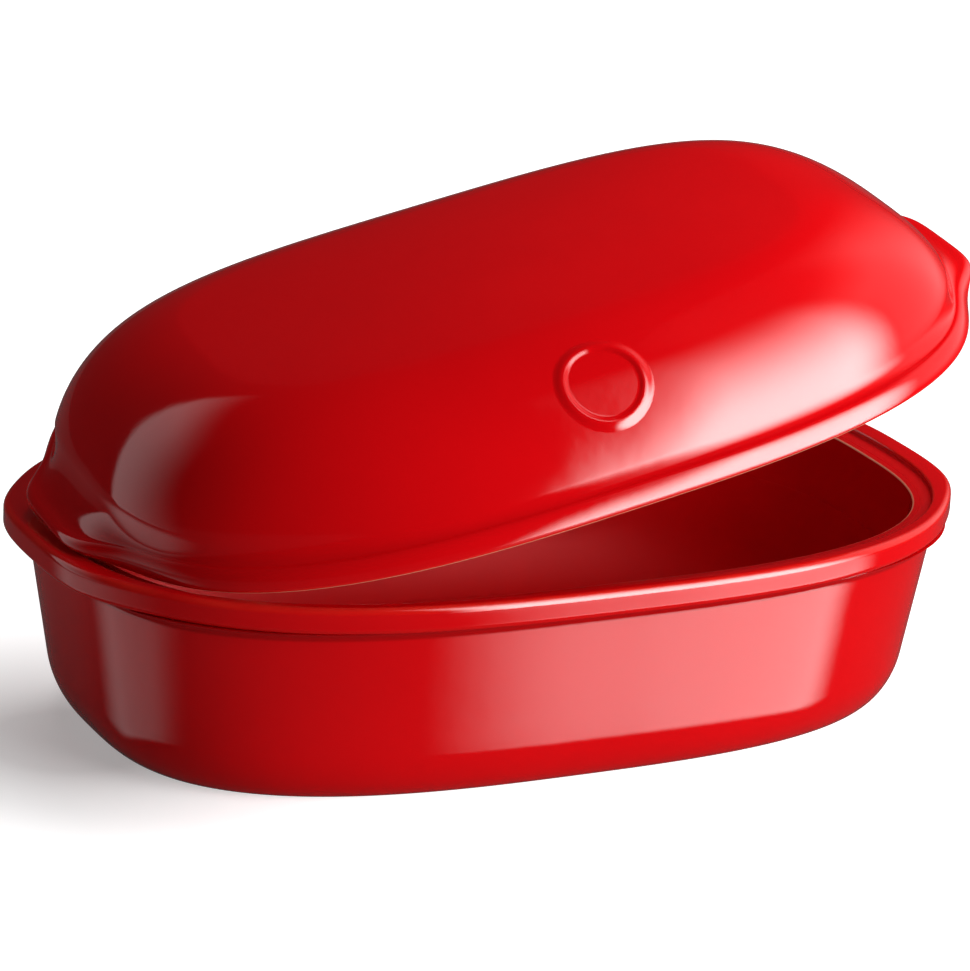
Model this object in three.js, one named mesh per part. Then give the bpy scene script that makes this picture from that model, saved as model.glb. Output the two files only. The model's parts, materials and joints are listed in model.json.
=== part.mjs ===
// A covered ceramic bread baker: an oval baking base and a domed lid, tipped open at one end.
// Millimetres, +Z up, +X along the length. The origin is on the table under the middle of the base.
import * as THREE from 'three';

// Overall sizes
const LENGTH = 365; // over the end handles
const WIDTH = 238; // over the rim
const BASE_HEIGHT = 82; // table to the top of the rim
const LID_HEIGHT = 57; // top of the rim to the crown

// Base rim and handles
const RIM_SQUARENESS = 2.75; // 2 is an ellipse, higher is squarer
const HANDLE_REACH = 8;
const HANDLE_HALF_WIDTH = 58;
const HANDLE_STEEPNESS = 6; // how sharply handles and grips stand out of the ends
const RIM_BAND = 10; // height of the rim's outer face
const RIM_ROUND = 2.6;
const RIM_SIDE_WIDTH = 5.5; // flat top of the rim along the long sides
const RIM_END_WIDTH = 9.5; // and at the handle tips
const RECESS_SQUARENESS = 2.62;
const RECESS_DEPTH = 2.7;
const RECESS_ROUND = 0.8;
const LEDGE_WIDTH = 9.2;

// Base body
const SIDE_OVERHANG = 8.3; // rim edge to body, along the long sides
const END_OVERHANG = 11.3; // and at the handle tips
const BODY_SQUARENESS = 2.85;
const WALL_SLOPE = 0.156; // how far the walls lean in per height
const BOTTOM_ROUND_REACH = 11;
const BOTTOM_ROUND_HEIGHT = 20;
const RIM_FILLET = 3; // under the rim band
const FLOOR_THICKNESS = 7;
const INNER_ROUND_REACH = 14;
const INNER_ROUND_HEIGHT = 24;

// Lid flange and grips
const FLANGE_SETBACK = 0.8; // flange edge inside the rim edge, along the long sides
const GRIP_OVERHANG = 2; // grip tips past the handle tips
const FLANGE_SQUARENESS = 2.9;
const GRIP_REACH = 13;
const GRIP_HALF_WIDTH = 37.5;
const FLANGE_THICKNESS = 8.5;
const FLANGE_ROUND = 2; // along the flange's lower edge
const FLANGE_BULGE = 4; // how far the flange's face curves in up to its top
const GRIP_UNDERCUT = 3.8; // grip tips are this much thinner from below
const GRIP_DIP = 0.7; // and this much lower on top

// Lid dome
const FOOT_SQUARENESS = 2.7;
const SHOULDER_SQUARENESS = 3.6;
const CROWN_SQUARENESS = 2.5;
const DOME_END_INSET = 0.7; // flange oval to dome foot, at the ends
const DOME_SIDE_INSET = 9; // and along the long sides
const DOME_FOOT_HEIGHT = 13.5;
const END_SHOULDER = 73.6; // radius of the shoulder along the length, at the ends
const SIDE_SHOULDER = 65.1; // and across, along the long sides
const SHOULDER_RADIUS = 62.2; // and upwards
const SHOULDER_START = 20.3; // degrees that the dome leans in at its foot
const SHOULDER_END = 80; // degrees, the crown takes over from there
const LID_WALL = 6.5;

// Fits between lid and base
const SEAT_GAP = 0.3; // flange over rim
const LIP_CLEARANCE = 1.5; // lip inside the recess
const LIP_FLOOR_GAP = 0.9; // lip over ledge
const LIP_TAPER = 0.4;

// How the lid stands open, turned about an axis over its left end
const OPEN_ANGLE = 14; // degrees
const AXIS_SKEW = 17; // degrees between the axis and the cross direction
const AXIS_SLOPE = -10.5; // degrees that the axis falls towards the front
const AXIS_HEIGHT = 29; // above the seat
const AXIS_INSET = 15.8; // from the outermost flange edge

const SEGMENTS = 88; // points round each ring
const ROUND_STEPS = 3;
const BULGE_STEPS = 4;
const WALL_ARC_STEPS = 7;
const COVE_STEPS = 4;
const SHOULDER_STEPS = 8;
const CROWN_STEPS = 3;

const signedPower = (value, power) => Math.sign(value) * Math.abs(value) ** power;
const quarterTurn = (step, steps) => (step / steps) * (Math.PI / 2);

// An oval plan: half sizes, squareness, and handles drawn out of the two ends.
function oval(halfLength, halfWidth, squareness, handleReach = 0, handleHalfWidth = 1) {
  return { halfLength, halfWidth, squareness, handleReach, handleHalfWidth };
}

function inset(plan, distance, widthDistance = distance) {
  return {
    ...plan,
    halfLength: plan.halfLength - distance,
    halfWidth: plan.halfWidth - widthDistance,
  };
}

// How far a point on the plan belongs to a handle: 1 at its tip, 0 along the sides.
function handleShare(plan, y) {
  if (plan.handleReach === 0) return 0;
  return 1 / (1 + (Math.abs(y) / plan.handleHalfWidth) ** HANDLE_STEEPNESS);
}

// One ring of points at height z, raised by handleLift at the handle tips.
function ring(plan, z, handleLift = 0) {
  const points = [];
  const ovalHalfLength = plan.halfLength - plan.handleReach;
  for (let i = 0; i < SEGMENTS; i += 1) {
    const angle = (i / SEGMENTS) * 2 * Math.PI;
    const along = signedPower(Math.cos(angle), 2 / plan.squareness);
    const y = plan.halfWidth * signedPower(Math.sin(angle), 2 / plan.squareness);
    const share = handleShare(plan, y);
    const x = along * (ovalHalfLength + plan.handleReach * share);
    points.push(new THREE.Vector3(x, y, z + handleLift * share));
  }
  return points;
}

// Rings part of the way from one ring to another, along x and y by reach and along z by rise.
function ringBetween(from, to, reach, rise) {
  return from.map((point, i) => new THREE.Vector3(
    THREE.MathUtils.lerp(point.x, to[i].x, reach),
    THREE.MathUtils.lerp(point.y, to[i].y, reach),
    THREE.MathUtils.lerp(point.z, to[i].z, rise),
  ));
}

// A closed skin through the rings, closed by a fan at a middle point on each end.
function loft(firstHeight, rings, lastHeight) {
  const positions = [0, 0, firstHeight];
  rings.flat().forEach((point) => positions.push(point.x, point.y, point.z));
  positions.push(0, 0, lastHeight);
  const lastPole = positions.length / 3 - 1;
  const indices = [];
  for (let j = 0; j < SEGMENTS; j += 1) {
    const next = (j + 1) % SEGMENTS;
    indices.push(0, 1 + next, 1 + j);
    for (let i = 0; i + 1 < rings.length; i += 1) {
      const low = 1 + i * SEGMENTS;
      const high = low + SEGMENTS;
      indices.push(low + j, low + next, high + next);
      indices.push(low + j, high + next, high + j);
    }
    const top = 1 + (rings.length - 1) * SEGMENTS;
    indices.push(top + j, top + next, lastPole);
  }
  const geometry = new THREE.BufferGeometry();
  geometry.setAttribute('position', new THREE.Float32BufferAttribute(positions, 3));
  geometry.setIndex(indices);
  geometry.computeVertexNormals();
  return geometry;
}

// Plans shared by the base and the lid
const rimPlan = oval(LENGTH / 2, WIDTH / 2, RIM_SQUARENESS, HANDLE_REACH, HANDLE_HALF_WIDTH);
const recessPlan = oval(LENGTH / 2 - RIM_END_WIDTH, WIDTH / 2 - RIM_SIDE_WIDTH, RECESS_SQUARENESS);
const flangePlan = oval(
  LENGTH / 2 + GRIP_OVERHANG,
  WIDTH / 2 - FLANGE_SETBACK,
  FLANGE_SQUARENESS,
  GRIP_REACH,
  GRIP_HALF_WIDTH,
);
const domePlan = oval(
  flangePlan.halfLength - GRIP_REACH - DOME_END_INSET,
  flangePlan.halfWidth - DOME_SIDE_INSET,
  FOOT_SQUARENESS,
);

// Rings up a leaning wall, from a rounding at its foot to its top.
function wallRings(topPlan, topHeight, footHeight, roundReach, roundHeight) {
  const rings = [];
  for (let i = 0; i <= WALL_ARC_STEPS; i += 1) {
    const turn = quarterTurn(i, WALL_ARC_STEPS);
    const z = footHeight + roundHeight * (1 - Math.cos(turn));
    const reach = WALL_SLOPE * (topHeight - z) + roundReach * (1 - Math.sin(turn));
    rings.push(ring(inset(topPlan, reach), z));
  }
  rings.push(ring(topPlan, topHeight));
  return rings;
}

function makeBaseGeometry() {
  const bodyTop = oval(LENGTH / 2 - END_OVERHANG, WIDTH / 2 - SIDE_OVERHANG, BODY_SQUARENESS);
  const rimUnderside = BASE_HEIGHT - RIM_BAND;
  const ledgeHeight = BASE_HEIGHT - RECESS_DEPTH;
  const cavityTop = { ...inset(recessPlan, LEDGE_WIDTH), squareness: BODY_SQUARENESS };

  // Outer wall, with a fillet under the rim
  const wallTop = rimUnderside - RIM_FILLET;
  const rings = wallRings(bodyTop, wallTop, 0, BOTTOM_ROUND_REACH, BOTTOM_ROUND_HEIGHT);
  for (let i = 1; i <= ROUND_STEPS; i += 1) {
    const turn = quarterTurn(i, ROUND_STEPS);
    const z = wallTop + RIM_FILLET * Math.sin(turn);
    rings.push(ring(inset(bodyTop, -RIM_FILLET * (1 - Math.cos(turn))), z));
  }

  // Rim band with rounded edges
  for (let i = 0; i <= ROUND_STEPS; i += 1) {
    const turn = quarterTurn(i, ROUND_STEPS);
    const z = rimUnderside + RIM_ROUND * (1 - Math.cos(turn));
    rings.push(ring(inset(rimPlan, RIM_ROUND * (1 - Math.sin(turn))), z));
  }
  for (let i = 0; i <= ROUND_STEPS; i += 1) {
    const turn = quarterTurn(i, ROUND_STEPS);
    const z = BASE_HEIGHT - RIM_ROUND * (1 - Math.sin(turn));
    rings.push(ring(inset(rimPlan, RIM_ROUND * (1 - Math.cos(turn))), z));
  }

  // Recess and ledge that take the lid's lip
  rings.push(ring(inset(recessPlan, -RECESS_ROUND), BASE_HEIGHT));
  rings.push(ring(recessPlan, BASE_HEIGHT - RECESS_ROUND));
  rings.push(ring(recessPlan, ledgeHeight));
  rings.push(ring(inset(cavityTop, -RECESS_ROUND), ledgeHeight));

  // Cavity
  const cavityWall = wallRings(
    cavityTop,
    ledgeHeight - RECESS_ROUND,
    FLOOR_THICKNESS,
    INNER_ROUND_REACH,
    INNER_ROUND_HEIGHT,
  );
  rings.push(...cavityWall.reverse());
  return loft(0, rings, FLOOR_THICKNESS);
}

// Rings of one skin of the dome, from its foot to near its middle. The inner skin lies depth inside
// the outer one, and its shoulder turns about the same centre.
function domeRings(depth) {
  const start = THREE.MathUtils.degToRad(SHOULDER_START);
  const end = THREE.MathUtils.degToRad(SHOULDER_END);
  const shoulderRing = (share) => {
    const turn = THREE.MathUtils.lerp(start, end, share);
    const reach = (radius) => radius * Math.cos(start) - (radius - depth) * Math.cos(turn);
    return {
      plan: {
        ...inset(domePlan, reach(END_SHOULDER), reach(SIDE_SHOULDER)),
        squareness: THREE.MathUtils.lerp(FOOT_SQUARENESS, SHOULDER_SQUARENESS, share),
      },
      z: DOME_FOOT_HEIGHT - SHOULDER_RADIUS * Math.sin(start)
        + (SHOULDER_RADIUS - depth) * Math.sin(turn),
    };
  };
  const rings = [];
  for (let i = 0; i <= SHOULDER_STEPS; i += 1) {
    const { plan, z } = shoulderRing(i / SHOULDER_STEPS);
    rings.push(ring(plan, z));
  }
  const edge = shoulderRing(1);
  const crownRise = LID_HEIGHT - SEAT_GAP - depth - edge.z;
  for (let i = CROWN_STEPS - 1; i > 0; i -= 1) {
    const share = i / CROWN_STEPS;
    const squareness = THREE.MathUtils.lerp(CROWN_SQUARENESS, SHOULDER_SQUARENESS, share);
    const plan = oval(edge.plan.halfLength * share, edge.plan.halfWidth * share, squareness);
    rings.push(ring(plan, edge.z + crownRise * (1 - share ** 2)));
  }
  return rings;
}

// The lid about its own seat: z = 0 is the flange's underside.
function makeLidGeometry() {
  const lipHeight = RECESS_DEPTH + SEAT_GAP - LIP_FLOOR_GAP;
  const lipPlan = inset(recessPlan, LIP_CLEARANCE);
  const crownHeight = LID_HEIGHT - SEAT_GAP;

  // Hollow, from the ceiling down to the lip
  const rings = domeRings(LID_WALL).reverse();
  const hollowFoot = rings[rings.length - 1];
  rings.push(hollowFoot.map((point) => new THREE.Vector3(point.x, point.y, -lipHeight)));

  // Seating lip under the flange
  rings.push(ring(inset(lipPlan, LIP_TAPER), -lipHeight));
  rings.push(ring(lipPlan, 0));

  // Flange edge, thinner at the grip tips
  for (let i = 0; i <= ROUND_STEPS; i += 1) {
    const turn = quarterTurn(i, ROUND_STEPS);
    const z = FLANGE_ROUND * (1 - Math.cos(turn));
    rings.push(ring(inset(flangePlan, FLANGE_ROUND * (1 - Math.sin(turn))), z, GRIP_UNDERCUT));
  }
  const faceFoot = rings[rings.length - 1];
  const flangeTop = ring(inset(flangePlan, FLANGE_BULGE), FLANGE_THICKNESS, -GRIP_DIP);
  for (let i = 1; i <= BULGE_STEPS; i += 1) {
    const turn = quarterTurn(i, BULGE_STEPS);
    rings.push(ringBetween(faceFoot, flangeTop, 1 - Math.cos(turn), Math.sin(turn)));
  }

  // Hollow cove from the flange up to the foot of the dome
  const outerSkin = domeRings(0);
  const coveSweep = THREE.MathUtils.degToRad(90 - SHOULDER_START);
  for (let i = 1; i < COVE_STEPS; i += 1) {
    const turn = (i / COVE_STEPS) * coveSweep;
    const reach = Math.sin(turn) / Math.sin(coveSweep);
    const rise = (1 - Math.cos(turn)) / (1 - Math.cos(coveSweep));
    rings.push(ringBetween(flangeTop, outerSkin[0], reach, rise));
  }
  rings.push(...outerSkin);
  return loft(crownHeight - LID_WALL, rings, crownHeight);
}

// The axis that the lid turns about, over its left end.
function makeLidAxis(seatHeight) {
  const skew = THREE.MathUtils.degToRad(AXIS_SKEW);
  const outward = new THREE.Vector3(-Math.cos(skew), -Math.sin(skew), 0);
  const edgeDistance = Math.max(...ring(flangePlan, 0).map((point) => point.dot(outward)));
  const origin = outward.clone().multiplyScalar(edgeDistance - AXIS_INSET);
  origin.z = seatHeight + AXIS_HEIGHT;
  const slope = THREE.MathUtils.degToRad(AXIS_SLOPE);
  const direction = new THREE.Vector3(
    Math.sin(skew) * Math.cos(slope),
    -Math.cos(skew) * Math.cos(slope),
    Math.sin(slope),
  );
  return { origin, direction };
}

const redGlaze = new THREE.MeshStandardMaterial({ color: 0xc4060a, roughness: 0.12, metalness: 0 });

const seatHeight = BASE_HEIGHT + SEAT_GAP;
const lidAxis = makeLidAxis(seatHeight);

const bakingBase = new THREE.Mesh(makeBaseGeometry(), redGlaze);
bakingBase.name = 'baking_base';

const domedLid = new THREE.Mesh(makeLidGeometry(), redGlaze.clone());
domedLid.name = 'domed_lid';
domedLid.position.set(-lidAxis.origin.x, -lidAxis.origin.y, seatHeight - lidAxis.origin.z);

const lidPivot = new THREE.Group();
lidPivot.position.copy(lidAxis.origin);
lidPivot.quaternion.setFromAxisAngle(lidAxis.direction, THREE.MathUtils.degToRad(OPEN_ANGLE));
lidPivot.add(domedLid);

const breadBaker = new THREE.Group();
breadBaker.name = 'covered_bread_baker';
breadBaker.add(bakingBase, lidPivot);

export default breadBaker;
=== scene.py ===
"""A covered ceramic bread baker in glossy red glaze, its lid tipped open, on a plain pale floor."""
import json
import math
from collections import namedtuple

import bpy
from mathutils import Matrix, Vector


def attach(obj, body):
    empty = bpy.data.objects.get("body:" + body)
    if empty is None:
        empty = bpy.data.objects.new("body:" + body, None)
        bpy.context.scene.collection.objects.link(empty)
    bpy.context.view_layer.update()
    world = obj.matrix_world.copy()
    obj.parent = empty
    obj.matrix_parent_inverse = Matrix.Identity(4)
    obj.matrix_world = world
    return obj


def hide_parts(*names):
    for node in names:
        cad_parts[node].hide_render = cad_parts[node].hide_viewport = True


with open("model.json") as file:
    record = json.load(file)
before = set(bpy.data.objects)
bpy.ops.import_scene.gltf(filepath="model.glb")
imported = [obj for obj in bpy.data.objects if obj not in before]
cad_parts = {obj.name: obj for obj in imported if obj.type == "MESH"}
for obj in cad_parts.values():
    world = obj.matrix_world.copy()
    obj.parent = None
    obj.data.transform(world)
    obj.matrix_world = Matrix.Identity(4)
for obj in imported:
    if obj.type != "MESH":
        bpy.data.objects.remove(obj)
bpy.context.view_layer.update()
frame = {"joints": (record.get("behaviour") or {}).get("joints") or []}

MM = 0.001

# Overall sizes, in millimetres
LENGTH = 365
WIDTH = 238
BASE_HEIGHT = 82
LID_HEIGHT = 57

# Base rim and handles
RIM_SQUARENESS = 2.75
HANDLE_REACH = 8
HANDLE_HALF_WIDTH = 58
HANDLE_STEEPNESS = 6
RIM_BAND = 10
RIM_ROUND = 2.6
RIM_SIDE_WIDTH = 5.5
RIM_END_WIDTH = 9.5
RECESS_SQUARENESS = 2.62
RECESS_DEPTH = 2.7
RECESS_ROUND = 0.8
LEDGE_WIDTH = 9.2

# Base body
SIDE_OVERHANG = 8.3
END_OVERHANG = 11.3
BODY_SQUARENESS = 2.85
WALL_SLOPE = 0.156
BOTTOM_ROUND_REACH = 11
BOTTOM_ROUND_HEIGHT = 20
RIM_FILLET = 5
FLOOR_THICKNESS = 7
INNER_ROUND_REACH = 14
INNER_ROUND_HEIGHT = 24
# Rows of the flat underside: share of the way from its middle to its edge, and whether the clay is bare
UNDERSIDE_ROWS = ((0.3, 0), (0.6, 0), (0.86, 0), (0.88, 1), (0.985, 1))
# Rows of the cavity's floor: share of the way from its middle to its wall
FLOOR_SHARES = (0.8, 0.5, 0.2)

# Lid flange and grips
FLANGE_SETBACK = 0.8
GRIP_OVERHANG = 2
FLANGE_SQUARENESS = 2.9
GRIP_REACH = 13
GRIP_HALF_WIDTH = 37.5
FLANGE_THICKNESS = 8.5
FLANGE_ROUND = 2
FLANGE_BULGE = 4
FACE_LEAN = math.radians(18)
GRIP_UNDERCUT = 3.8
GRIP_DIP = 0.7

# Lid dome
FOOT_SQUARENESS = 2.7
SHOULDER_SQUARENESS = 3.6
CROWN_SQUARENESS = 2.5
DOME_END_INSET = 0.7
DOME_SIDE_INSET = 9
DOME_FOOT_HEIGHT = 13.5
END_SHOULDER = 73.6
SIDE_SHOULDER = 65.1
SHOULDER_RADIUS = 62.2
SHOULDER_START = math.radians(20.3)
SHOULDER_END = math.radians(80)
LID_WALL = 6.5
END_COVE_RISE = 0.12  # how far up the shoulder the cove reaches at the ends
END_COVE_FADE = 6  # how fast that fades towards the long sides

# Fits between lid and base
SEAT_GAP = 0.3
LIP_CLEARANCE = 1.5
LIP_FLOOR_GAP = 0.9
LIP_TAPER = 0.4
LIP_CHAMFER = 0.4
LIP_INNER_SHARES = (0.5, 0.95)  # rows down the inside of the lip

# Blank medallion on the front of the dome
MEDALLION_SHARE = 0.475  # up the dome's shoulder, where 0 is its foot
MEDALLION_X = 4.0
BEAD_RADIUS = 14.8
BEAD_HEIGHT = 1.0
BEAD_INNER_FLANK = 2.2
BEAD_OUTER_FLANK = 4.0
FIELD_HEIGHT = 0.25
MEDALLION_EDGE_SINK = 0.02
MEDALLION_ROOT = 0.8  # how deep its underside lies in the lid
MEDALLION_ROOT_SHARES = (0.35, 0.7, 1)  # rows of its underside, from the middle out
MEDALLION_SEGMENTS = 128
MEDALLION_ROWS = 60
MEDALLION_SEARCH_STEPS = 5
SLOPE_STEP = 0.001

# How much the glaze thins along the rim's lower edge, where 1 is the most
LOWER_EDGE_THIN = 0.3
# How much painted shade darkens the hollow under the rim
FILLET_PAINTED_SHADE = 0.5
# How far it is worn where it has lost its gloss but not its colour, where 1 is bare clay
DULL_WEAR = 0.3
# How far it is worn at the top edge of the cavity
CAVITY_EDGE_WEAR = 0.8

# How far round the lid's lower edge the bare clay reaches, and over what angle it ends, in radians
BARE_EDGE_END = 1.0
BARE_EDGE_FADE = 0.25

# Fineness of the skins
SEGMENTS = 320
POINT_SPREAD = 1.35  # 1 spreads the points by equal angles, more draws them out of the corners
ROUND_STEPS = 8
CORNER_STEPS = 4
WALL_STEPS = 20
STRAIGHT_STEPS = 8
SHOULDER_STEPS = 32
CROWN_STEPS = 16
COVE_STEPS = 14

Plan = namedtuple("Plan", "half_length half_width squareness handle_reach handle_half_width",
                  defaults=(0.0, 1.0))
# The second field of a row is how much the glaze thins on an edge, or painted shade where it is below 0
Row = namedtuple("Row", "points thin bare", defaults=(0.0, 0.0))


def signed_power(value, power):
    """A power of the value's size, with the sign of the value."""
    return math.copysign(abs(value) ** power, value)


def lerp(start, end, share):
    """The value at a share of the way from start to end."""
    return start + (end - start) * share


def quarter_turns(steps):
    """Angles from 0 to a quarter turn, both ends included."""
    return [step / steps * math.pi / 2 for step in range(steps + 1)]


def inset(plan, distance, width_distance=None):
    """A plan made smaller all round, or by width_distance at its long sides."""
    side = distance if width_distance is None else width_distance
    return plan._replace(half_length=plan.half_length - distance, half_width=plan.half_width - side)


def oval_point(plan, angle, z, handle_lift=0.0):
    """One point on an oval plan at height z, raised by handle_lift at the handle tips."""
    along = signed_power(math.cos(angle), 2 / plan.squareness)
    y = plan.half_width * signed_power(math.sin(angle), 2 / plan.squareness)
    share = 0.0
    if plan.handle_reach:
        share = 1 / (1 + (abs(y) / plan.handle_half_width) ** HANDLE_STEEPNESS)
    x = along * (plan.half_length - plan.handle_reach * (1 - share))
    return Vector((x, y, z + handle_lift * share))


def ring_angle(i):
    """The angle of a ring's point, spread so that the points of a squarish oval lie about evenly."""
    quarter, share = divmod(4 * i / SEGMENTS, 1)
    near = share ** POINT_SPREAD
    far = (1 - share) ** POINT_SPREAD
    return (quarter + near / (near + far)) * math.pi / 2


def ring(plan, z, handle_lift=0.0):
    """The points round a plan at height z."""
    return [oval_point(plan, ring_angle(i), z, handle_lift) for i in range(SEGMENTS)]


def between(start, end, reach, rise):
    """A point part of the way between two points, by reach across and by rise in height."""
    return Vector((lerp(start.x, end.x, reach), lerp(start.y, end.y, reach), lerp(start.z, end.z, rise)))


def ring_between(start, end, reach, rise):
    """The ring part of the way between two rings."""
    return [between(p, q, reach, rise) for p, q in zip(start, end)]


def make_skin(name, first_point, rows, last_point, pose):
    """A closed smooth mesh through the rows, with a middle point at each end, placed by pose."""
    count = len(rows[0].points)
    points = [first_point]
    thin = [rows[0].thin]
    bare = [rows[0].bare]
    for row in rows:
        points.extend(row.points)
        thin.extend([row.thin] * count)
        bare.extend([row.bare] * count)
    points.append(last_point)
    thin.append(rows[-1].thin)
    bare.append(rows[-1].bare)
    faces = []
    last = len(points) - 1
    for j in range(count):
        after = (j + 1) % count
        faces.append((0, 1 + after, 1 + j))
        for i in range(len(rows) - 1):
            low = 1 + i * count
            high = low + count
            faces.append((low + j, low + after, high + after, high + j))
        top = 1 + (len(rows) - 1) * count
        faces.append((top + j, top + after, last))
    mesh = bpy.data.meshes.new(name)
    mesh.from_pydata([pose @ (point * MM) for point in points], [], faces)
    mesh.polygons.foreach_set("use_smooth", [True] * len(mesh.polygons))
    # Thinner glaze on edges, and painted shade under the rim where the value is below 0
    for label, values in (("glaze_thin_or_painted_shade", thin), ("bare_clay", bare)):
        mesh.attributes.new(label, "FLOAT", "POINT").data.foreach_set("value", values)
    piece = bpy.data.objects.new(name, mesh)
    bpy.context.scene.collection.objects.link(piece)
    normals = piece.modifiers.new("even_normals", "WEIGHTED_NORMAL")
    normals.keep_sharp = False
    return piece


# Plans shared by the base and the lid
rim_plan = Plan(LENGTH / 2, WIDTH / 2, RIM_SQUARENESS, HANDLE_REACH, HANDLE_HALF_WIDTH)
recess_plan = Plan(LENGTH / 2 - RIM_END_WIDTH, WIDTH / 2 - RIM_SIDE_WIDTH, RECESS_SQUARENESS)
flange_plan = Plan(LENGTH / 2 + GRIP_OVERHANG, WIDTH / 2 - FLANGE_SETBACK, FLANGE_SQUARENESS,
                   GRIP_REACH, GRIP_HALF_WIDTH)
dome_plan = Plan(flange_plan.half_length - GRIP_REACH - DOME_END_INSET,
                 flange_plan.half_width - DOME_SIDE_INSET, FOOT_SQUARENESS)


def wall_rows(top_plan, top_height, foot_height, round_reach, round_height):
    """Rows up a leaning wall, from a rounding at its foot to its top."""
    rows = []

    def wall_row(z, reach):
        rows.append(Row(ring(inset(top_plan, WALL_SLOPE * (top_height - z) + reach), z)))

    for turn in quarter_turns(WALL_STEPS):
        wall_row(foot_height + round_height * (1 - math.cos(turn)), round_reach * (1 - math.sin(turn)))
    for step in range(1, STRAIGHT_STEPS + 1):
        wall_row(lerp(foot_height + round_height, top_height, step / STRAIGHT_STEPS), 0)
    return rows


def make_base():
    """The base, from the middle of its underside out, up, over the rim and down to the cavity's floor."""
    body_top = Plan(LENGTH / 2 - END_OVERHANG, WIDTH / 2 - SIDE_OVERHANG, BODY_SQUARENESS)
    rim_underside = BASE_HEIGHT - RIM_BAND
    wall_top = rim_underside - RIM_FILLET
    ledge_height = BASE_HEIGHT - RECESS_DEPTH
    cavity_top = inset(recess_plan, LEDGE_WIDTH)._replace(squareness=BODY_SQUARENESS)
    outer_wall = wall_rows(body_top, wall_top, 0, BOTTOM_ROUND_REACH, BOTTOM_ROUND_HEIGHT)
    cavity_wall = wall_rows(cavity_top, ledge_height - RECESS_ROUND, FLOOR_THICKNESS,
                            INNER_ROUND_REACH, INNER_ROUND_HEIGHT)
    rows = []

    # Flat underside, with a bare ring where it stands
    middle = [Vector((0, 0, 0))] * SEGMENTS
    for share, bare in UNDERSIDE_ROWS:
        rows.append(Row(ring_between(middle, outer_wall[0].points, share, 1), 0, bare))
    rows.extend(outer_wall)

    # Hollow fillet, darkened with painted shade, then the rim band with rounded edges
    for turn in quarter_turns(ROUND_STEPS)[1:]:
        plan = inset(body_top, -RIM_FILLET * (1 - math.cos(turn)))
        rows.append(Row(ring(plan, wall_top + RIM_FILLET * math.sin(turn)), -FILLET_PAINTED_SHADE))
    for turn in quarter_turns(ROUND_STEPS):
        plan = inset(rim_plan, RIM_ROUND * (1 - math.sin(turn)))
        z = rim_underside + RIM_ROUND * (1 - math.cos(turn))
        rows.append(Row(ring(plan, z), LOWER_EDGE_THIN * math.sin(2 * turn)))
    for turn in quarter_turns(ROUND_STEPS):
        plan = inset(rim_plan, RIM_ROUND * (1 - math.cos(turn)))
        z = BASE_HEIGHT - RIM_ROUND * (1 - math.sin(turn))
        rows.append(Row(ring(plan, z), math.sin(2 * turn)))

    # Recess and ledge that take the lid's lip
    for turn in quarter_turns(CORNER_STEPS):
        plan = inset(recess_plan, -RECESS_ROUND * (1 - math.sin(turn)))
        z = BASE_HEIGHT - RECESS_ROUND * (1 - math.cos(turn))
        rows.append(Row(ring(plan, z), math.sin(2 * turn)))
    for turn in quarter_turns(CORNER_STEPS):
        plan = inset(recess_plan, RECESS_ROUND * (1 - math.cos(turn)))
        z = ledge_height + RECESS_ROUND * (1 - math.sin(turn))
        rows.append(Row(ring(plan, z), 0, DULL_WEAR))
    for turn in quarter_turns(CORNER_STEPS):
        plan = inset(cavity_top, -RECESS_ROUND * (1 - math.sin(turn)))
        z = ledge_height - RECESS_ROUND * (1 - math.cos(turn))
        edge = math.sin(2 * turn)
        rows.append(Row(ring(plan, z), edge, CAVITY_EDGE_WEAR * edge))

    # Cavity, duller towards its floor
    for row in cavity_wall[-2::-1]:
        height_share = (row.points[0].z - FLOOR_THICKNESS) / (ledge_height - FLOOR_THICKNESS)
        rows.append(row._replace(bare=DULL_WEAR * (1 - height_share)))
    floor_middle = [Vector((0, 0, FLOOR_THICKNESS))] * SEGMENTS
    for share in FLOOR_SHARES:
        rows.append(Row(ring_between(floor_middle, cavity_wall[0].points, share, 1), 0, DULL_WEAR))
    return make_skin("glazed_base", Vector((0, 0, 0)), rows, Vector((0, 0, FLOOR_THICKNESS)),
                     Matrix.Identity(4))


def shoulder(share, depth):
    """Plan and height of the dome's shoulder: share 0 is its foot, and depth is inside the outer skin."""
    turn = lerp(SHOULDER_START, SHOULDER_END, share)

    def reach(radius):
        return radius * math.cos(SHOULDER_START) - (radius - depth) * math.cos(turn)

    plan = inset(dome_plan, reach(END_SHOULDER), reach(SIDE_SHOULDER))
    z = (DOME_FOOT_HEIGHT - SHOULDER_RADIUS * math.sin(SHOULDER_START)
         + (SHOULDER_RADIUS - depth) * math.sin(turn))
    return plan._replace(squareness=lerp(FOOT_SQUARENESS, SHOULDER_SQUARENESS, share)), z


def dome_rows(depth, feet):
    """One skin of the dome, depth inside the outer skin.

    Each point starts at its own share of the shoulder, and the rows end near the middle of the crown.
    """
    rows = []
    for step in range(SHOULDER_STEPS + 1):
        points = []
        for i, foot in enumerate(feet):
            plan, z = shoulder(lerp(foot, 1, step / SHOULDER_STEPS), depth)
            points.append(oval_point(plan, ring_angle(i), z))
        rows.append(Row(points))
    edge_plan, edge_z = shoulder(1, depth)
    crown_rise = LID_HEIGHT - SEAT_GAP - depth - edge_z
    for step in range(CROWN_STEPS - 1, 0, -1):
        share = step / CROWN_STEPS
        plan = Plan(edge_plan.half_length * share, edge_plan.half_width * share,
                    lerp(CROWN_SQUARENESS, SHOULDER_SQUARENESS, share))
        rows.append(Row(ring(plan, edge_z + crown_rise * (1 - share ** 2))))
    return rows


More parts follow.
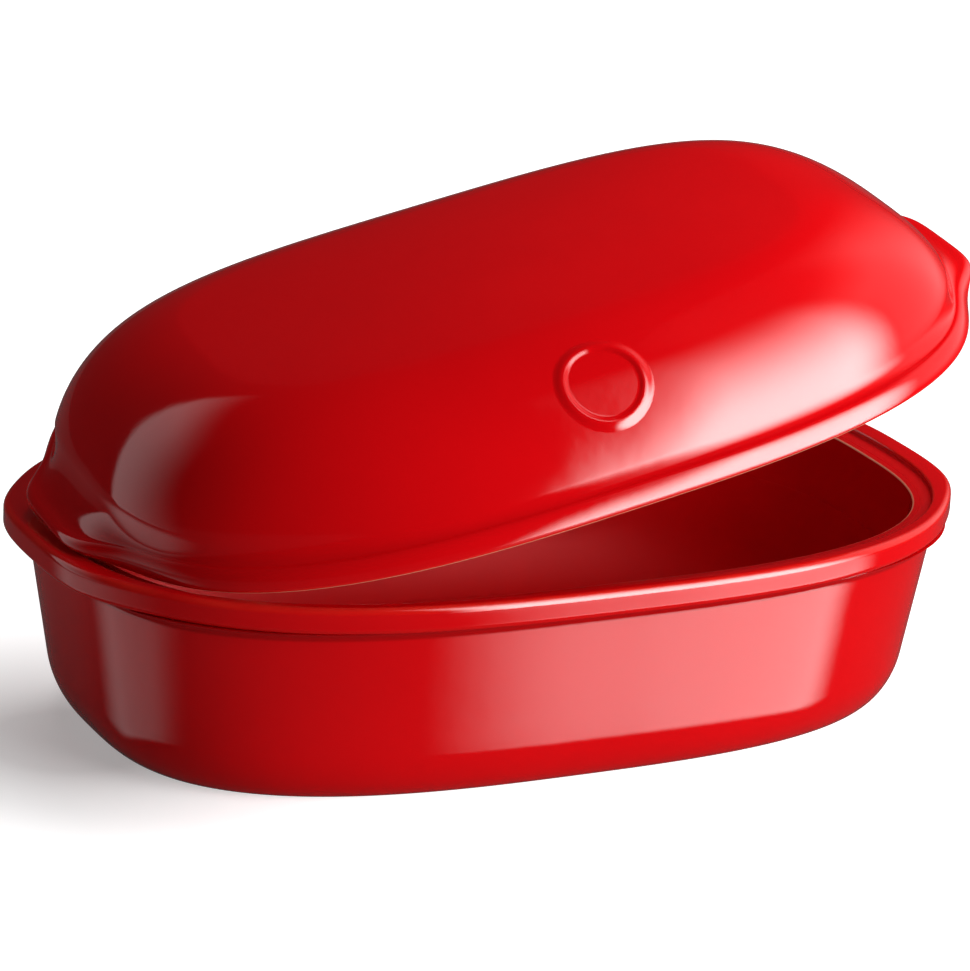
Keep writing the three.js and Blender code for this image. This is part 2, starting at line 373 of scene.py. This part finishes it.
def make_lid(pose):
    """The lid, from the middle of its ceiling down the hollow, round the flange and up the dome."""
    lip_height = RECESS_DEPTH + SEAT_GAP - LIP_FLOOR_GAP
    lip_plan = inset(recess_plan, LIP_CLEARANCE)
    crown_height = LID_HEIGHT - SEAT_GAP

    # Hollow, from the ceiling down to the lip
    rows = dome_rows(LID_WALL, [0] * SEGMENTS)[::-1]
    hollow_foot = rows[-1].points
    lip_inner = [Vector((point.x, point.y, -lip_height)) for point in hollow_foot]
    for share in LIP_INNER_SHARES:
        rows.append(Row(ring_between(hollow_foot, lip_inner, 1, share)))

    # Bare seating lip and flange underside
    rows.append(Row(lip_inner, 1, 1))
    rows.append(Row(ring(inset(lip_plan, LIP_TAPER + LIP_CHAMFER), -lip_height), 0, 1))
    rows.append(Row(ring(inset(lip_plan, LIP_TAPER), -lip_height + LIP_CHAMFER), 0, 1))
    rows.append(Row(ring(lip_plan, 0), 0, 1))

    # Flange edge, thinner at the grip tips
    for turn in quarter_turns(ROUND_STEPS):
        plan = inset(flange_plan, FLANGE_ROUND * (1 - math.sin(turn)))
        bare = min(1.0, max(0.0, (BARE_EDGE_END - turn) / BARE_EDGE_FADE))
        rows.append(Row(ring(plan, FLANGE_ROUND * (1 - math.cos(turn)), GRIP_UNDERCUT),
                        math.sin(2 * turn), bare))
    face_foot = rows[-1].points
    flange_top = ring(inset(flange_plan, FLANGE_BULGE), FLANGE_THICKNESS, -GRIP_DIP)
    for step in range(1, COVE_STEPS + 1):
        turn = lerp(FACE_LEAN, math.pi / 2, step / COVE_STEPS)
        reach = 1 - math.cos(turn) / math.cos(FACE_LEAN)
        rise = (math.sin(turn) - math.sin(FACE_LEAN)) / (1 - math.sin(FACE_LEAN))
        rows.append(Row(ring_between(face_foot, flange_top, reach, rise)))

    # Hollow cove from the flange up to the foot of the dome
    feet = [END_COVE_RISE * abs(math.cos(ring_angle(i))) ** END_COVE_FADE for i in range(SEGMENTS)]
    outer_skin = dome_rows(0, feet)
    for step in range(1, COVE_STEPS):
        points = []
        for start, end, foot in zip(flange_top, outer_skin[0].points, feet):
            sweep = math.pi / 2 - lerp(SHOULDER_START, SHOULDER_END, foot)
            turn = step / COVE_STEPS * sweep
            reach = math.sin(turn) / math.sin(sweep)
            rise = (1 - math.cos(turn)) / (1 - math.cos(sweep))
            points.append(between(start, end, reach, rise))
        rows.append(Row(points))
    rows.extend(outer_skin)
    return make_skin("glazed_lid", Vector((0, 0, crown_height - LID_WALL)), rows,
                     Vector((0, 0, crown_height)), pose)


def front_point(share, x):
    """The point on the front of the dome's shoulder at a share of its height and a place along it."""
    plan, z = shoulder(share, 0)
    y = -plan.half_width * (1 - abs(x / plan.half_length) ** plan.squareness) ** (1 / plan.squareness)
    return Vector((x, y, z))


def soft_fall(share):
    """Falls softly from 1 to 0 as share goes from 0 to 1, and stays there."""
    return (1 + math.cos(math.pi * min(1.0, share))) / 2


def medallion_height(radius):
    """How far the medallion stands off the dome: a flat field inside a raised bead."""
    if radius > BEAD_RADIUS:
        return lerp(-MEDALLION_EDGE_SINK, BEAD_HEIGHT, soft_fall((radius - BEAD_RADIUS) / BEAD_OUTER_FLANK))
    return lerp(FIELD_HEIGHT, BEAD_HEIGHT, soft_fall((BEAD_RADIUS - radius) / BEAD_INNER_FLANK))


def make_medallion(pose):
    """A blank round medallion on the front of the dome, following its curve."""

    def slopes_at(share, x):
        """A point on the dome, and how it moves with share and with x."""
        point = front_point(share, x)
        with_share = (front_point(share + SLOPE_STEP, x) - point) / SLOPE_STEP
        with_x = (front_point(share, x + SLOPE_STEP) - point) / SLOPE_STEP
        return point, with_share, with_x

    middle, with_share, with_x = slopes_at(MEDALLION_SHARE, MEDALLION_X)
    sideways = with_x.normalized()
    outward = with_x.cross(with_share).normalized()
    upward = outward.cross(sideways)

    def on_dome(across, up, height):
        """The dome's point at a place in the medallion's plane, found by stepping towards it."""
        target = middle + sideways * across + upward * up
        share, x = MEDALLION_SHARE, MEDALLION_X
        for _ in range(MEDALLION_SEARCH_STEPS):
            point, with_share, with_x = slopes_at(share, x)
            slopes = Matrix(((with_share.dot(sideways), with_x.dot(sideways)),
                             (with_share.dot(upward), with_x.dot(upward))))
            gap = target - point
            move = slopes.inverted() @ Vector((gap.dot(sideways), gap.dot(upward)))
            share += move.x
            x += move.y
        point, with_share, with_x = slopes_at(share, x)
        return point + with_x.cross(with_share).normalized() * height

    def medallion_row(radius, height):
        """A round row of points at one height off the dome."""
        turns = [i / MEDALLION_SEGMENTS * 2 * math.pi for i in range(MEDALLION_SEGMENTS)]
        return Row([on_dome(radius * math.cos(turn), radius * math.sin(turn), height) for turn in turns])

    edge = BEAD_RADIUS + BEAD_OUTER_FLANK
    rows = [medallion_row(edge * share, -MEDALLION_ROOT) for share in MEDALLION_ROOT_SHARES]
    for i in range(MEDALLION_ROWS, 0, -1):
        radius = edge * i / MEDALLION_ROWS
        rows.append(medallion_row(radius, medallion_height(radius)))
    return make_skin("lid_medallion", on_dome(0, 0, -MEDALLION_ROOT), rows,
                     on_dome(0, 0, FIELD_HEIGHT), pose)


# The lid stands open by the angle from its closed limit
hinge = frame["joints"][0]
pivot = Vector(hinge["pos_m"])
opening = Matrix.Rotation(math.radians(-hinge["range_deg"][0]), 4, Vector(hinge["axis"]))
seated = Matrix.Translation((0, 0, (BASE_HEIGHT + SEAT_GAP) * MM))
lid_pose = Matrix.Translation(pivot) @ opening @ Matrix.Translation(-pivot) @ seated

base = make_base()
lid = make_lid(lid_pose)
medallion = make_medallion(lid_pose)


def add_node(tree, kind, inputs, **settings):
    """A node with its settings and inputs: each input is a value or the output that feeds it."""
    node = tree.nodes.new(kind)
    for name, value in settings.items():
        setattr(node, name, value)
    for name, value in inputs.items():
        if isinstance(value, bpy.types.NodeSocket):
            tree.links.new(value, node.inputs[name])
        else:
            node.inputs[name].default_value = value
    return node


def math_node(tree, operation, first, second=0.0):
    """The output of one step of arithmetic."""
    return add_node(tree, "ShaderNodeMath", {0: first, 1: second}, operation=operation).outputs["Value"]


def make_material(name):
    """A new material, its node tree and its shader."""
    material = bpy.data.materials.new(name)
    material.use_nodes = True
    return material, material.node_tree, material.node_tree.nodes["Principled BSDF"]


def mix_colour(tree, share, first, second):
    """The colour at a share of the way from the first to the second."""
    return add_node(tree, "ShaderNodeMix", {"Factor": share, "A": first, "B": second},
                    data_type="RGBA").outputs["Result"]


WHITE = (1, 1, 1, 1)

# Colours of the glaze and the clay
RED = (0.66, 0.002, 0.004, 1)
DEEP_RED = (0.56, 0.001, 0.003, 1)
THIN_RED = (0.72, 0.018, 0.010, 1)
# Deep red painted into the hollow under the rim as shade
UNDER_RIM_PAINTED_SHADE_RED = (0.22, 0.0005, 0.001, 1)
CLAY = (0.75, 0.53, 0.33, 1)

# Surface of the glaze: noises have a scale per metre and a detail, and the bump a depth in metres
GLAZE_ROUGHNESS = 0.06
DULL_ROUGHNESS = 0.65
GLAZE_IOR = 1.38
TONE_NOISE = (14, 4)
EDGE_NOISE = (60, 2)
PEEL_NOISE = (70, 3)
PEEL_STRENGTH = 0.1
PEEL_DEPTH = 0.0005


def make_glaze(name):
    """Glossy red glaze: uneven in tone, thinner on edges, with painted shade in the hollow under the rim
    and bare clay where it was wiped off.
    """
    material, tree, shader = make_material(name)
    place = tree.nodes.new("ShaderNodeTexCoord").outputs["Object"]

    def noise(scale, detail):
        return add_node(tree, "ShaderNodeTexNoise",
                        {"Vector": place, "Scale": scale, "Detail": detail}).outputs["Fac"]

    def attribute(label):
        return add_node(tree, "ShaderNodeAttribute", {}, attribute_name=label).outputs["Fac"]

    bare = attribute("bare_clay")
    thinness_or_painted_shade = attribute("glaze_thin_or_painted_shade")
    glaze = mix_colour(tree, noise(*TONE_NOISE), RED, DEEP_RED)
    # Painted shade: values below 0 darken the hollow under the rim towards deep red
    under_rim_shaded = mix_colour(tree, math_node(tree, "MULTIPLY", thinness_or_painted_shade, -1.0), glaze, UNDER_RIM_PAINTED_SHADE_RED)
    edge_share = math_node(tree, "MULTIPLY", thinness_or_painted_shade, noise(*EDGE_NOISE))
    edged = mix_colour(tree, edge_share, under_rim_shaded, THIN_RED)
    wiped = add_node(tree, "ShaderNodeMapRange", {"Value": bare, "From Min": DULL_WEAR})
    coloured = mix_colour(tree, wiped.outputs["Result"], edged, CLAY)
    tree.links.new(coloured, shader.inputs["Base Color"])
    dull = add_node(tree, "ShaderNodeMapRange",
                    {"Value": bare, "From Max": DULL_WEAR,
                     "To Min": GLAZE_ROUGHNESS, "To Max": DULL_ROUGHNESS})
    tree.links.new(dull.outputs["Result"], shader.inputs["Roughness"])
    peel = add_node(tree, "ShaderNodeBump",
                    {"Height": noise(*PEEL_NOISE), "Strength": PEEL_STRENGTH, "Distance": PEEL_DEPTH})
    tree.links.new(peel.outputs["Normal"], shader.inputs["Normal"])
    shader.inputs["IOR"].default_value = GLAZE_IOR
    return material


red_glaze = make_glaze("red_glaze")
for piece, body, slot in ((base, "base", "base_glaze"), (lid, "lid", "lid_glaze"),
                          (medallion, "lid", "lid_glaze")):
    piece.data.materials.append(red_glaze)
    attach(piece, body)
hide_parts("baking_base")
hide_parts("domed_lid")

# Floor, which glows more away from the shaded end of the object, so that the background stays pale; the
# dimmer glow near that end is a painted shadow, added to the lamps' own shadow there
FLOOR_HALF = 12
FLOOR_GREY = (0.66, 0.66, 0.66, 1)
FLOOR_ROUGHNESS = 0.9
SHADED_END = (-0.165, 0, 0)
# Glow at the shaded end, kept low to paint a shadow there
PAINTED_SHADOW_GLOW = 0.30
FAR_GLOW = 0.95
# Distances from the shaded end between which the glow grows out of the painted shadow
GLOW_START = 0.03
GLOW_END = 0.13
# How much of a reflection passes the floor to the soft boxes below its level
REFLECTION_PASSES = 0.96
floor_mesh = bpy.data.meshes.new("floor")
floor_corners = [(-FLOOR_HALF, -FLOOR_HALF, 0), (FLOOR_HALF, -FLOOR_HALF, 0),
                 (FLOOR_HALF, FLOOR_HALF, 0), (-FLOOR_HALF, FLOOR_HALF, 0)]
floor_mesh.from_pydata(floor_corners, [], [(0, 1, 2, 3)])
floor = bpy.data.objects.new("floor", floor_mesh)
bpy.context.scene.collection.objects.link(floor)
pale, pale_tree, pale_shader = make_material("pale_floor")
pale_shader.inputs["Base Color"].default_value = FLOOR_GREY
pale_shader.inputs["Roughness"].default_value = FLOOR_ROUGHNESS
pale_shader.inputs["Specular IOR Level"].default_value = 0.0
pale_shader.inputs["Emission Color"].default_value = WHITE
seen = pale_tree.nodes.new("ShaderNodeLightPath").outputs
shown = math_node(pale_tree, "ADD", seen["Is Camera Ray"], seen["Is Glossy Ray"])
shown = math_node(pale_tree, "MAXIMUM", shown, seen["Is Transmission Ray"])
floor_place = pale_tree.nodes.new("ShaderNodeTexCoord").outputs["Object"]
from_shaded_end = add_node(pale_tree, "ShaderNodeVectorMath", {0: floor_place, 1: SHADED_END},
                           operation="DISTANCE").outputs["Value"]
# Dimmer glow near the shaded end paints a shadow onto the floor
glow = add_node(pale_tree, "ShaderNodeMapRange",
                {"Value": from_shaded_end, "From Min": GLOW_START, "From Max": GLOW_END,
                 "To Min": PAINTED_SHADOW_GLOW, "To Max": FAR_GLOW}).outputs["Result"]
shown_glow = math_node(pale_tree, "MULTIPLY", shown, glow)
pale_tree.links.new(shown_glow, pale_shader.inputs["Emission Strength"])
see_through = pale_tree.nodes.new("ShaderNodeBsdfTransparent")
passing = math_node(pale_tree, "MULTIPLY", seen["Is Glossy Ray"], REFLECTION_PASSES)
mixed = add_node(pale_tree, "ShaderNodeMixShader",
                 {0: passing, 1: pale_shader.outputs["BSDF"], 2: see_through.outputs["BSDF"]})
pale_tree.links.new(mixed.outputs["Shader"], pale_tree.nodes["Material Output"].inputs["Surface"])
floor_mesh.materials.append(pale)


def direction(azimuth, elevation):
    """Unit vector from the object; azimuth 0 is the front, 90 is the +X end."""
    azimuth = math.radians(azimuth)
    elevation = math.radians(elevation)
    return Vector((math.sin(azimuth) * math.cos(elevation),
                   -math.cos(azimuth) * math.cos(elevation),
                   math.sin(elevation)))


def soft_edge(tree, value, start, end, rising):
    """A smooth step between two angles, up or down."""
    low, high = (0, 1) if rising else (1, 0)
    node = add_node(tree, "ShaderNodeMapRange", {"Value": value, "From Min": start, "From Max": end,
                                                 "To Min": low, "To Max": high},
                    interpolation_type="SMOOTHSTEP")
    return node.outputs["Result"]


# Soft boxes of the studio: strength, how far the sides lean per degree up, then where each box fades in
# and out, in degrees round and up. The last two lie below the floor's level, where only reflections
# see them.
SOFT_BOXES = (
    (4.0, 0, (8, 20, 44, 68), (-20, -10, 14, 74)),
    (0.17, 0, (50, 72, 110, 145), (-5, 10, 45, 70)),
    (0.20, 0.65, (-140, -137, -132, -84), (-10, -4, 34, 54)),
    (1.0, 0, (12, 38, 62, 73), (-41, -36, -22, -12)),
    (0.14, 0, (-152, -134, -110, -76), (-40, -35, -20, -8)),
)
AMBIENT = 0.004
# How much brightness the boxes gain in reflections
GLOSS_GAIN = 5.6

world = bpy.data.worlds.new("studio")
world.use_nodes = True
sky = world.node_tree
toward = add_node(sky, "ShaderNodeSeparateXYZ",
                  {"Vector": sky.nodes.new("ShaderNodeTexCoord").outputs["Generated"]}).outputs
frontness = math_node(sky, "MULTIPLY", toward["Y"], -1.0)
round_angle = math_node(sky, "DEGREES", math_node(sky, "ARCTAN2", toward["X"], frontness))
up_angle = math_node(sky, "DEGREES", math_node(sky, "ARCSINE", toward["Z"]))
total = AMBIENT
for strength, lean, around, upward in SOFT_BOXES:
    box = strength
    leaned = math_node(sky, "ADD", round_angle, math_node(sky, "MULTIPLY", up_angle, lean))
    for angle, (start, full, fading, end) in ((leaned, around), (up_angle, upward)):
        box = math_node(sky, "MULTIPLY", soft_edge(sky, angle, start, full, True), box)
        box = math_node(sky, "MULTIPLY", soft_edge(sky, angle, fading, end, False), box)
    total = math_node(sky, "ADD", box, total)
glossy = sky.nodes.new("ShaderNodeLightPath").outputs["Is Glossy Ray"]
gain = math_node(sky, "ADD", math_node(sky, "MULTIPLY", glossy, GLOSS_GAIN), 1.0)
total = math_node(sky, "MULTIPLY", total, gain)
sky.nodes["Background"].inputs["Color"].default_value = WHITE
sky.links.new(total, sky.nodes["Background"].inputs["Strength"])
bpy.context.scene.world = world

# Lamps that only shade the surface: name, degrees round and up, distance, size in metres, power in watts
LAMPS = (
    ("front", 18, 12, 0.5, 0.30, 0.95),
    ("right", 80, 25, 0.5, 0.30, 0.5),
    ("over_right", 60, 60, 0.45, 0.30, 0.94),
    ("behind", 165, 45, 1.5, 0.80, 5.8),
    ("left", -115, 20, 1.0, 0.30, 0.64),
)
LAMP_TARGET = Vector((0, 0, 0.08))
for name, around, up, distance, size, power in LAMPS:
    lamp_data = bpy.data.lights.new(name, "AREA")
    lamp_data.shape = "DISK"
    lamp_data.size = size
    lamp_data.energy = power
    lamp = bpy.data.objects.new(name, lamp_data)
    bpy.context.scene.collection.objects.link(lamp)
    away = direction(around, up)
    lamp.matrix_world = (Matrix.Translation(LAMP_TARGET + away * distance)
                         @ away.to_track_quat("Z", "Y").to_matrix().to_4x4())
    lamp.visible_glossy = False

# Camera at the photograph's viewing angle: angles in degrees, distances in metres, lens in millimetres
CAMERA_AZIMUTH = -25.931
CAMERA_ELEVATION = 18.459
CAMERA_DISTANCE = 1.9037
CAMERA_TARGET = Vector((-0.0004, 0, 0.0830))
CAMERA_ROLL = 2.761
CAMERA_LENS = 187.2
SENSOR_WIDTH = 36
camera_data = bpy.data.cameras.new("camera")
camera_data.sensor_fit = "HORIZONTAL"
camera_data.sensor_width = SENSOR_WIDTH
camera_data.lens = CAMERA_LENS
camera = bpy.data.objects.new("camera", camera_data)
bpy.context.scene.collection.objects.link(camera)
back = direction(CAMERA_AZIMUTH, CAMERA_ELEVATION)
level = back.to_track_quat("Z", "Y").to_matrix().to_4x4()
camera.matrix_world = (Matrix.Translation(CAMERA_TARGET + back * CAMERA_DISTANCE)
                       @ level @ Matrix.Rotation(math.radians(CAMERA_ROLL), 4, "Z"))
bpy.context.scene.camera = camera

bpy.context.scene.view_settings.view_transform = "Standard"
